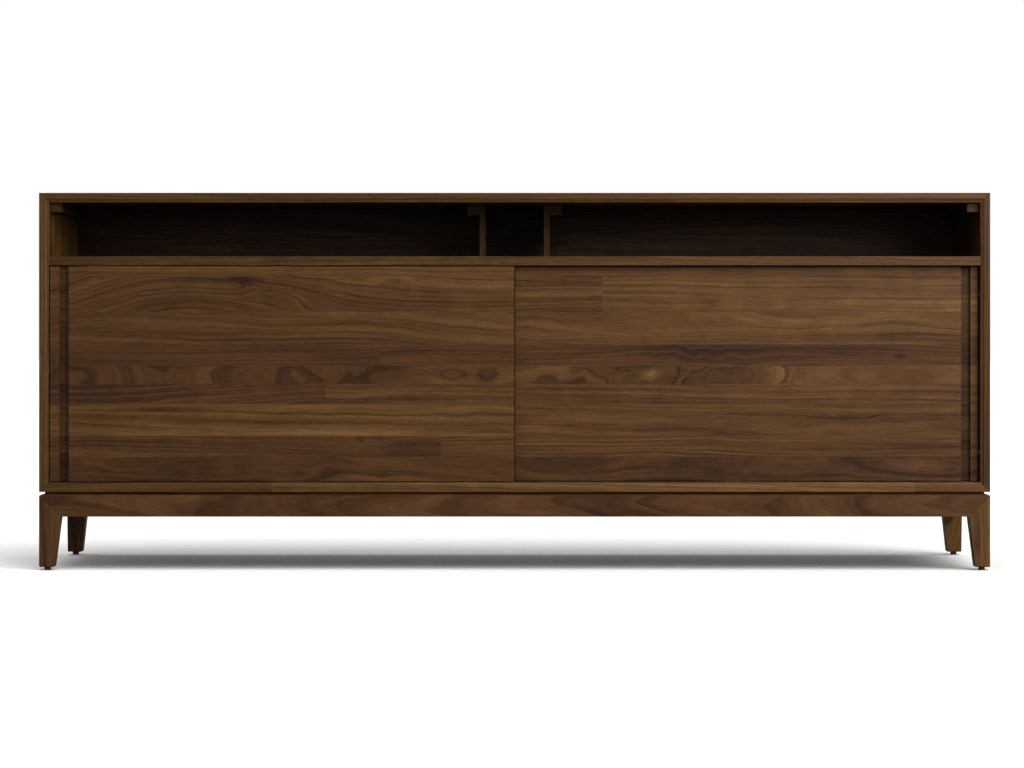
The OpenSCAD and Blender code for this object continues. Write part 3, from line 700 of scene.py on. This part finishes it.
joint_steps = []
for low, joint, left, right in door_staves:
    share = (low - door_low) / (door_high - door_low)
    joint_share = (joint + 2.0) / 4.0
    joint_steps.append((share, (joint_share, joint_share, joint_share)))
joint_value = add_node(
    tree, "ShaderNodeSeparateXYZ", {0: colour_steps(tree, height_share, joint_steps, "CONSTANT")}
).outputs[0]
joint_place = maths(tree, "MULTIPLY_ADD", joint_value, 4.0, -2.0)
beyond = maths(tree, "GREATER_THAN", axes[0], joint_place)
board_values = []
for columns in ((0, 1, 2), (3, 4, 5)):
    before = stave_values(0, columns)
    after = stave_values(1, columns)
    for index in range(3):
        difference = maths(tree, "SUBTRACT", after[index], before[index])
        value = maths(tree, "MULTIPLY_ADD", difference, beyond, before[index])
        board_values.append(maths(tree, "SUBTRACT", value, 0.5))
number, heart, lean, ring, tone, red = board_values
bend = 0.0
swirl = 0.0
lift_with_painted_light_and_shade = 0.0
for along, across, length, width, low, high, bends, slants, swirls, lightens in door_marks:
    mark = add_node(tree, "ShaderNodeGroup", node_tree=mark_group)
    tree.links.new(place, mark.inputs["Place"])
    sizes = (along, across, length, width, low, high)
    for label, value in zip(("Along", "Across", "Length", "Width", "Low", "High"), sizes):
        mark.inputs[label].default_value = value
    shown = mark.outputs[0]
    if bends:
        bend = maths(tree, "MULTIPLY_ADD", shown, bends, bend)
    if slants:
        from_middle = maths(tree, "SUBTRACT", axes[0], along)
        bend = maths(tree, "MULTIPLY_ADD", maths(tree, "MULTIPLY", shown, from_middle), slants, bend)
    if swirls:
        swirl = maths(tree, "MULTIPLY_ADD", shown, swirls, swirl)
    if lightens:
        lift_with_painted_light_and_shade = maths(tree, "MULTIPLY_ADD", shown, lightens, lift_with_painted_light_and_shade)
# Painted shade: the grooves are darker than the face, the right one more, as shade falls in the recesses
on_left = maths(tree, "LESS_THAN", axes[0], -groove_inner_x)
on_right = maths(tree, "GREATER_THAN", axes[0], groove_inner_x)
for groove_y, on_its_side, groove_painted_shade in (
    (left_groove_y, on_left, left_groove_painted_shade),
    (right_groove_y, on_right, right_groove_painted_shade),
):
    from_middle = maths(tree, "ABSOLUTE", maths(tree, "SUBTRACT", axes[2], groove_y))
    behind_face = maths(tree, "LESS_THAN", from_middle, groove_half_depth)
    painted_shade_in_groove = maths(tree, "MULTIPLY", behind_face, on_its_side)
    lift_with_painted_light_and_shade = maths(tree, "MULTIPLY_ADD", painted_shade_in_groove, groove_painted_shade, lift_with_painted_light_and_shade)
grain = add_node(tree, "ShaderNodeGroup", node_tree=grain_group)
tree.links.new(place, grain.inputs["Place"])
heart_place = maths(tree, "MULTIPLY_ADD", heart, door_high - door_low, door_low)
for label, value in {
    "Board": maths(tree, "MULTIPLY", number, board_numbers),
    "Heart Side": heart_place,
    "Lean": maths(tree, "MULTIPLY", maths(tree, "SUBTRACT", lean, 0.5), lean_range),
    "Ring": maths(tree, "MULTIPLY", ring, ring_range),
    "Tone": maths(tree, "ADD", tone, lift_with_painted_light_and_shade),
    "Red": red,
    "Bend": bend,
    "Swirl": swirl,
}.items():
    tree.links.new(value, grain.inputs[label])
oil_finish(door_finish, grain)
dress(["left_door_panel", "right_door_panel"], door_finish, door_arris)


# ---- Wood screws and back screws ----
# Cross-recessed steel screws, zinc-plated: countersunk ones up through the base and the cleats, and
# small pan-head ones round the back panels. The plating is faintly mottled, with fine scratches.
marks_group, given, result = new_group(
    "Handling marks",
    {"Place": (0.0, 0.0, 0.0), "Size": 0.01},
    {
        "Mottle": "NodeSocketFloat",
        "Scratches": "NodeSocketFloat",
        "Grit": "NodeSocketFloat",
        "Dust": "NodeSocketFloat",
    },
)
tree = marks_group
marks_scale = maths(tree, "DIVIDE", 1.0, given["Size"])
marks_place = add_node(
    tree, "ShaderNodeVectorMath", {0: given["Place"], "Scale": marks_scale}, operation="SCALE"
).outputs[0]
mottle, unused_spread = cloud(tree, marks_place, 3.0, 0.6)
tree.links.new(maths(tree, "ADD", mottle, 0.5, clamp=True), result.inputs["Mottle"])
scratch_depth = 0.0
for turn, stretch in ((0.5, (1.2, 38.0, 30.0)), (1.9, (34.0, 1.0, 26.0)), (2.6, (30.0, 34.0, 1.1))):
    turned = add_node(
        tree,
        "ShaderNodeVectorRotate",
        {"Vector": marks_place, "Angle": turn},
        rotation_type="AXIS_ANGLE",
    )
    line_cloud, unused_spread = cloud(tree, stretched(tree, turned.outputs[0], stretch), 0.0)
    lines = add_node(tree, "ShaderNodeMapRange", {"Value": line_cloud, "From Min": 0.26, "From Max": 0.33})
    scratch_depth = maths(tree, "ADD", lines.outputs[0], scratch_depth)
tree.links.new(scratch_depth, result.inputs["Scratches"])
grit, unused_spread = cloud(tree, stretched(tree, marks_place, (22.0, 22.0, 22.0)), 1.0)
tree.links.new(maths(tree, "ADD", grit, 0.5), result.inputs["Grit"])
upward = add_node(
    tree, "ShaderNodeSeparateXYZ", {0: add_node(tree, "ShaderNodeNewGeometry").outputs["Normal"]}
).outputs[2]
dust_cloud, unused_spread = cloud(tree, stretched(tree, marks_place, (3.0, 3.0, 3.0)), 3.0, 0.7)
dust = maths(tree, "MULTIPLY", maths(tree, "MAXIMUM", upward, 0.0), maths(tree, "ADD", dust_cloud, 0.55))
tree.links.new(dust, result.inputs["Dust"])


def hard_finish(name, low, high, rough, metallic, size, grain_bump):
    """A plated or moulded finish that goes from one colour to the other, with handling marks."""
    finish = new_finish(name)
    tree = finish.node_tree
    marks = add_node(tree, "ShaderNodeGroup", node_tree=marks_group)
    place = add_node(tree, "ShaderNodeTexCoord").outputs["Object"]
    tree.links.new(place, marks.inputs["Place"])
    marks.inputs["Size"].default_value = size
    middle = tuple((a + b) / 2 for a, b in zip(low, high))
    colour = colour_steps(tree, marks.outputs["Mottle"], [(0.25, low), (0.5, middle), (0.75, high)])
    dusty = add_node(
        tree,
        "ShaderNodeMix",
        {0: maths(tree, "MULTIPLY", marks.outputs["Dust"], 0.10), 6: colour, 7: (0.30, 0.27, 0.23, 1)},
        data_type="RGBA",
    )
    dullness = added(
        tree,
        rough,
        (marks.outputs["Mottle"], 0.12),
        (marks.outputs["Scratches"], -0.08 if metallic else 0.10),
        (marks.outputs["Dust"], 0.15),
    )
    height = added(tree, 0.5, (marks.outputs["Grit"], 0.4), (marks.outputs["Scratches"], -0.25))
    relief = add_node(
        tree, "ShaderNodeBump", {"Height": height, "Strength": 0.4, "Distance": grain_bump}
    )
    surface = add_node(
        tree,
        "ShaderNodeBsdfPrincipled",
        {
            "Base Color": dusty.outputs[2],
            "Roughness": dullness,
            "Metallic": metallic,
            "Normal": relief.outputs[0],
        },
    )
    add_node(tree, "ShaderNodeOutputMaterial", {"Surface": surface.outputs[0]})
    return finish


zinc_plate = hard_finish(
    "Zinc plate",
    low=(0.40, 0.40, 0.39),
    high=(0.60, 0.60, 0.57),
    rough=0.30,
    metallic=1.0,
    size=0.004,
    grain_bump=0.00003,
)
screw_arris = 0.0002
wood_screw_r = 0.002
wood_head_r = 0.004
wood_head_h = 0.002
back_screw_r = 0.0015
back_head_r = 0.003
back_head_h = 0.0018
back_screw_len = 0.020
cleat_screw_len = 0.028
side_cleat_screw_len = 0.034
base_screw_len = 0.032
tip_len = 0.003
tip_share = 0.08
thread_step = 0.0009
thread_share = 0.84
head_round = 0.35
slot_w = 0.0009
slot_share = 1.1
slot_depth = 0.0011
screw_sides = 20
hair = 0.00001


def pick(chosen):
    """In edit mode, selects only the faces, or edges, that the test chooses."""
    mesh = bmesh.from_edit_mesh(bpy.context.object.data)
    for element in (*mesh.verts, *mesh.edges, *mesh.faces):
        element.select_set(False)
    for element in chosen(mesh):
        element.select_set(True)
    mesh.select_flush_mode()
    bmesh.update_edit_mesh(bpy.context.object.data)


def drive_screw(shank_r, head_r, head_h, length, countersunk):
    """A screw along Z, its head's face looking down and its point at the top."""
    # The head, a disc whose upper end narrows to the shank
    bpy.ops.object.select_all(action="DESELECT")
    head_low = 0.0 if countersunk else -head_h
    middle = (0, 0, head_low + head_h / 2)
    bpy.ops.mesh.primitive_cylinder_add(
        vertices=screw_sides, radius=head_r, depth=head_h, location=middle
    )
    bpy.ops.object.transform_apply(location=True, rotation=True, scale=True)
    screw = bpy.context.object
    bpy.ops.object.mode_set(mode="EDIT")
    bpy.ops.mesh.select_mode(type="FACE")
    pick(lambda mesh: [face for face in mesh.faces if face.normal.z > 0.9])
    height = head_low + head_h
    if countersunk:
        narrow = shank_r / head_r
        bpy.ops.transform.resize(value=(narrow, narrow, 1), center_override=(0, 0, height))
    else:
        bpy.ops.mesh.inset(thickness=head_r - shank_r)
    # The thread, rings a step apart that go in and out, and then the point
    turns = int((length - height - tip_len) / thread_step)
    for turn in range(turns):
        wide = thread_share if turn % 2 == 0 else 1 / thread_share
        bpy.ops.mesh.extrude_region_move(TRANSFORM_OT_translate={"value": (0, 0, thread_step)})
        height += thread_step
        bpy.ops.transform.resize(value=(wide, wide, 1), center_override=(0, 0, height))
    bpy.ops.mesh.extrude_region_move(TRANSFORM_OT_translate={"value": (0, 0, length - height)})
    bpy.ops.transform.resize(value=(tip_share, tip_share, 1), center_override=(0, 0, length))
    if not countersunk:
        bpy.ops.mesh.select_mode(type="EDGE")
        pick(
            lambda mesh: [
                edge
                for edge in mesh.edges
                if all(corner.co.z < head_low + hair for corner in edge.verts)
            ]
        )
        bpy.ops.mesh.bevel(offset=head_h * head_round, segments=3, affect="EDGES")
    bpy.ops.object.mode_set(mode="OBJECT")
    # The cross recess, two slots cut into the head's face
    slot_len = head_r * slot_share
    for slot_x, slot_y in ((slot_len, slot_w), (slot_w, slot_len)):
        bpy.ops.object.select_all(action="DESELECT")
        bpy.ops.mesh.primitive_cube_add(size=1, location=(0, 0, head_low))
        cutter = bpy.context.object
        cutter.scale = (slot_x, slot_y, slot_depth * 2)
        bpy.ops.object.transform_apply(location=True, rotation=True, scale=True)
        bpy.ops.object.select_all(action="DESELECT")
        screw.select_set(True)
        bpy.context.view_layer.objects.active = screw
        recess = screw.modifiers.new("Cross recess", "BOOLEAN")
        recess.object = cutter
        recess.operation = "DIFFERENCE"
        recess.solver = "EXACT"
        bpy.ops.object.modifier_apply(modifier=recess.name)
        bpy.data.objects.remove(cutter)
    bpy.ops.object.shade_smooth_by_angle(angle=math.radians(35))
    return screw


def set_screws(name, node, groups):
    """Copies each screw to its places, joins the copies, and puts them in for the CAD node."""
    copies = []
    for screw, places in groups:
        for place, turn, axis in places:
            copy = screw.copy()
            copy.data = screw.data.copy()
            turned = Matrix.Rotation(math.radians(turn), 4, axis)
            copy.data.transform(Matrix.Translation(place) @ turned)
            bpy.context.scene.collection.objects.link(copy)
            copies.append(copy)
        bpy.data.objects.remove(screw)
    bpy.ops.object.select_all(action="DESELECT")
    for copy in copies:
        copy.select_set(True)
    bpy.context.view_layer.objects.active = copies[0]
    bpy.ops.object.join()
    piece = bpy.context.object
    piece.name = name
    piece.data.materials.clear()
    piece.data.materials.append(zinc_plate)
    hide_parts(node)
    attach(piece, "cabinet")


# Round the back: rows along the bottom, the shelf and the top, the sides, and the partition's edge
back_face_y = 0.222
row_xs = (0.06, 0.34667, 0.63333, 0.92)
row_zs = (0.181, 0.651, 0.778)
side_row_x = 0.984
side_row_zs = (0.255, 0.4795, 0.704)
partition_row_x = 0.00475
partition_row_zs = (0.245, 0.5815)
back_places = []
for side in (-1, 1):
    for x in row_xs:
        back_places += [(side * x, z) for z in row_zs]
    back_places += [(side * side_row_x, z) for z in side_row_zs]
    back_places += [(side * partition_row_x, z) for z in partition_row_zs]
pan_screw = drive_screw(back_screw_r, back_head_r, back_head_h, back_screw_len, False)
set_screws(
    "back_panel_pan_screws",
    "back_panel_screws",
    [(pan_screw, [((x, back_face_y, z), 90, "X") for x, z in back_places])],
)

# Up through each cleat into the top, and sideways into the side or the divider
cleat_foot_z = 0.754
cleat_middle_z = 0.764
cleat_half_w = 0.013
cleat_xs = ((-0.967, -1), (-0.089, 1), (0.089, -1), (0.967, 1))
cleat_ys = (0.013, 0.0965, 0.180)
sideways_step = 0.015
upright_places = []
sideways_places = []
for x, side in cleat_xs:
    for y in cleat_ys:
        upright_places.append(((x, y, cleat_foot_z), 0, "Z"))
        inner_face = (x - side * cleat_half_w, y + sideways_step, cleat_middle_z)
        sideways_places.append((inner_face, side * 90, "Y"))
upright_screw = drive_screw(wood_screw_r, wood_head_r, wood_head_h, cleat_screw_len, True)
sideways_screw = drive_screw(wood_screw_r, wood_head_r, wood_head_h, side_cleat_screw_len, True)
set_screws(
    "cleat_countersunk_screws",
    "cleat_screws",
    [(upright_screw, upright_places), (sideways_screw, sideways_places)],
)

# Up through the cross rails and the corner blocks into the bottom of the case
rail_foot_z = 0.141
rail_screw_y = 0.1025
corner_screw_x = 0.9575
corner_screw_y = 0.1875
base_places = [(x, y) for x in (-0.48, 0.0, 0.48) for y in (-rail_screw_y, rail_screw_y)]
for x in (-corner_screw_x, corner_screw_x):
    base_places += [(x, y) for y in (-corner_screw_y, corner_screw_y)]
base_screw = drive_screw(wood_screw_r, wood_head_r, wood_head_h, base_screw_len, True)
set_screws(
    "base_countersunk_screws",
    "base_screws",
    [(base_screw, [((x, y, rail_foot_z), 0, "Z") for x, y in base_places])],
)


# ---- Shelf pins ----
# Four turned steel pins hold each loose shelf. They push into blind holes in rows, so the shelf can
# be set higher or lower. Nickel plate, with a small chamfer at each end.
pin_plate = hard_finish(
    "Nickel plate",
    low=(0.50, 0.47, 0.42),
    high=(0.68, 0.65, 0.59),
    rough=0.22,
    metallic=1.0,
    size=0.006,
    grain_bump=0.00002,
)
pin_chamfer = 0.0004
dress(["left_shelf_pins", "right_shelf_pins"], pin_plate, pin_chamfer)


# ---- Tracks ----
# Two extruded channels of dark brown plastic lie in grooves in the bottom, and two in the shelf's
# underside. The wheels polish the bottom ones, and drawing leaves faint lines along them.
track_finish = new_finish("Extruded brown plastic")
tree = track_finish.node_tree
marks = add_node(tree, "ShaderNodeGroup", node_tree=marks_group)
place = add_node(tree, "ShaderNodeTexCoord").outputs["Object"]
tree.links.new(place, marks.inputs["Place"])
marks.inputs["Size"].default_value = 0.03
draw_cloud, unused_spread = cloud(tree, stretched(tree, place, (3.0, 1500.0, 1500.0)), 2.0)
draw_lines = maths(tree, "ADD", draw_cloud, 0.5)
brown_plastic = colour_steps(
    tree,
    added(tree, 0.0, (marks.outputs["Mottle"], 0.6), (draw_lines, 0.4)),
    [(0.3, (0.016, 0.0105, 0.0075)), (0.7, (0.028, 0.019, 0.014))],
)
track_dull = added(
    tree,
    0.36,
    (draw_lines, 0.14),
    (marks.outputs["Scratches"], 0.12),
    (marks.outputs["Dust"], 0.2),
)
relief = add_node(
    tree, "ShaderNodeBump", {"Height": draw_lines, "Strength": 0.35, "Distance": 0.00006}
)
shiny = add_node(
    tree,
    "ShaderNodeBsdfPrincipled",
    {"Base Color": brown_plastic, "Roughness": track_dull, "Normal": relief.outputs[0]},
)
add_node(tree, "ShaderNodeOutputMaterial", {"Surface": shiny.outputs[0]})
track_arris = 0.00025
dress(
    ["front_bottom_track", "rear_bottom_track", "front_top_track", "rear_top_track"],
    track_finish,
    track_arris,
)


# ---- Bumpers and dust strip ----
# Dark felt dots on the sides stop the doors softly. A black pile strip down the front door's inner
# end brushes over the rear door and closes the seam between the two. Its near-black colour is
# painted shadow as well: it draws the dark line of the seam.


def pile_finish(name, low, high, size, sheen):
    """Short dark fibres: clumps in the colour, single hairs in the relief, and a faint sheen."""
    finish = new_finish(name)
    tree = finish.node_tree
    place = add_node(tree, "ShaderNodeTexCoord").outputs["Object"]
    fine = 1.0 / size
    clumps, unused_spread = cloud(tree, stretched(tree, place, (fine / 6, fine / 6, fine / 6)), 3.0, 0.7)
    hair_place = stretched(tree, place, (fine, fine * 0.25, fine))
    hairs, unused_spread = cloud(tree, hair_place, 2.0, 0.7)
    colour = colour_steps(tree, added(tree, 0.5, (clumps, 1.0), (hairs, 0.9)), [(0.2, low), (0.8, high)])
    relief = add_node(
        tree,
        "ShaderNodeBump",
        {"Height": added(tree, 0.5, (hairs, 1.0), (clumps, 0.5)), "Strength": 0.8, "Distance": size},
    )
    surface = add_node(
        tree,
        "ShaderNodeBsdfPrincipled",
        {
            "Base Color": colour,
            "Roughness": added(tree, 0.92, (hairs, 0.1)),
            "Specular IOR Level": 0.1,
            "Sheen Weight": sheen,
            "Normal": relief.outputs[0],
        },
    )
    add_node(tree, "ShaderNodeOutputMaterial", {"Surface": surface.outputs[0]})
    return finish


felt_arris = 0.0003
felt = pile_finish(
    "Brown felt", low=(0.008, 0.005, 0.0035), high=(0.030, 0.020, 0.014), size=0.0006, sheen=0.15
)
dress(["door_bumpers"], felt, felt_arris)
# Painted shadow: the near-black pile draws the dark line of the seam between the doors
black_pile_painted_shadow = pile_finish(
    "Black pile, painted seam shadow", low=(0.0015, 0.0012, 0.001), high=(0.008, 0.0065, 0.0055), size=0.0004, sheen=0.03
)
dress(["left_door_dust_strip"], black_pile_painted_shadow, felt_arris)


# ---- Roller housings and top guides ----
# Black nylon housings let into the foot of each door carry the wheels, and guides let into its top
# run in the shelf's channels. They are moulded with a fine spark-eroded grain.
black_nylon = hard_finish(
    "Black nylon",
    low=(0.010, 0.010, 0.010),
    high=(0.021, 0.021, 0.020),
    rough=0.48,
    metallic=0.0,
    size=0.008,
    grain_bump=0.00008,
)
moulded_arris = 0.0003
dress(
    [
        "left_door_roller_housings",
        "right_door_roller_housings",
        "left_door_top_guides",
        "right_door_top_guides",
    ],
    black_nylon,
    moulded_arris,
)


# ---- Wheels and axles ----
# Four dished wheels of dark grey nylon turn on steel axles in the housings. Running leaves the
# treads a little scratched and polished.
axle_steel = hard_finish(
    "Ground steel",
    low=(0.46, 0.46, 0.45),
    high=(0.60, 0.60, 0.59),
    rough=0.20,
    metallic=1.0,
    size=0.005,
    grain_bump=0.00001,
)
axle_chamfer = 0.0002
dress(["left_door_axles", "right_door_axles"], axle_steel, axle_chamfer)
grey_nylon = hard_finish(
    "Grey nylon",
    low=(0.011, 0.011, 0.0105),
    high=(0.022, 0.022, 0.021),
    rough=0.34,
    metallic=0.0,
    size=0.006,
    grain_bump=0.00003,
)
dress(
    [
        "left_door_outer_wheel",
        "left_door_inner_wheel",
        "right_door_outer_wheel",
        "right_door_inner_wheel",
    ],
    grey_nylon,
    axle_chamfer,
)


# ---- Leg base: aprons, legs, cross rails and corner blocks ----
# A walnut frame carries the case. The aprons are mitred at the corners, where tapered legs meet them,
# and their top slopes in to a shadow line. Rails and corner blocks inside take the screws to the case.
base_arris = 0.0007
apron_board_w = 0.3
leg_board_w = 0.9795 / 48
dress(
    ["front_apron", "back_apron"],
    walnut("Walnut long aprons", "xzy", panel=28.0, width=apron_board_w, length=4.0, tone=-0.02),
    base_arris,
)
dress(
    ["left_apron", "right_apron"],
    walnut("Walnut short aprons", "yzx", panel=31.0, width=apron_board_w, length=4.0, tone=-0.02),
    base_arris,
)
dress(
    ["front_left_leg", "front_right_leg", "rear_left_leg", "rear_right_leg"],
    walnut("Walnut legs", "zxy", panel=200.0, width=leg_board_w, length=4.0, tone=-0.04),
    base_arris,
)
dress(
    ["left_cross_rail", "centre_cross_rail", "right_cross_rail"],
    walnut("Walnut cross rails", "yxz", panel=37.0, width=0.3, length=4.0, tone=0.05),
    base_arris,
)
dress(
    ["corner_blocks"],
    walnut("Walnut corner blocks", "xyz", panel=40.0, width=0.3, length=0.6, tone=0.05),
    base_arris,
)


# ---- Levelers and their sockets ----
# A threaded steel socket is pressed up into each leg. The leveler screws into it: a steel stem on a
# round glide of dark brown plastic, scuffed at its edge where it slides on the floor.
dress(["leveler_sockets"], zinc_plate, screw_arris)
leveler_finish = new_finish("Leveler")
tree = leveler_finish.node_tree
marks = add_node(tree, "ShaderNodeGroup", node_tree=marks_group)
place = add_node(tree, "ShaderNodeTexCoord").outputs["Object"]
tree.links.new(place, marks.inputs["Place"])
marks.inputs["Size"].default_value = 0.005
glide_top = 0.0066
scuff_h = 0.0014
thread_pitch = 0.00125
height_here = add_node(tree, "ShaderNodeSeparateXYZ", {0: place}).outputs[2]
is_stem = maths(tree, "GREATER_THAN", height_here, glide_top)
scuffs = maths(tree, "MULTIPLY", marks.outputs["Mottle"], maths(tree, "LESS_THAN", height_here, scuff_h))
glide_colour = colour_steps(
    tree,
    added(tree, 0.0, (marks.outputs["Mottle"], 0.7), (scuffs, 0.5)),
    [(0.2, (0.016, 0.0085, 0.0045)), (0.8, (0.050, 0.030, 0.018))],
)
stem_colour = colour_steps(
    tree, marks.outputs["Mottle"], [(0.25, (0.40, 0.40, 0.39)), (0.75, (0.60, 0.60, 0.57))]
)
leveler_colour = add_node(
    tree, "ShaderNodeMix", {0: is_stem, 6: glide_colour, 7: stem_colour}, data_type="RGBA"
)
thread_turns = maths(tree, "PINGPONG", height_here, thread_pitch / 2)
thread = maths(tree, "MULTIPLY", maths(tree, "DIVIDE", thread_turns, thread_pitch / 2), is_stem)
relief = add_node(
    tree,
    "ShaderNodeBump",
    {
        "Height": added(tree, 0.0, (thread, 1.0), (marks.outputs["Grit"], 0.08)),
        "Strength": 0.8,
        "Distance": 0.0004,
    },
)
leveler = add_node(
    tree,
    "ShaderNodeBsdfPrincipled",
    {
        "Base Color": leveler_colour.outputs[2],
        "Metallic": is_stem,
        "Roughness": added(tree, 0.46, (is_stem, -0.16), (marks.outputs["Scratches"], 0.1), (scuffs, 0.3)),
        "Normal": relief.outputs[0],
    },
)
add_node(tree, "ShaderNodeOutputMaterial", {"Surface": leveler.outputs[0]})
glide_arris = 0.0004
dress(
    ["front_left_leveler", "front_right_leveler", "rear_left_leveler", "rear_right_leveler"],
    leveler_finish,
    glide_arris,
)

# The box round all that shows, the floor left out
low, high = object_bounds()
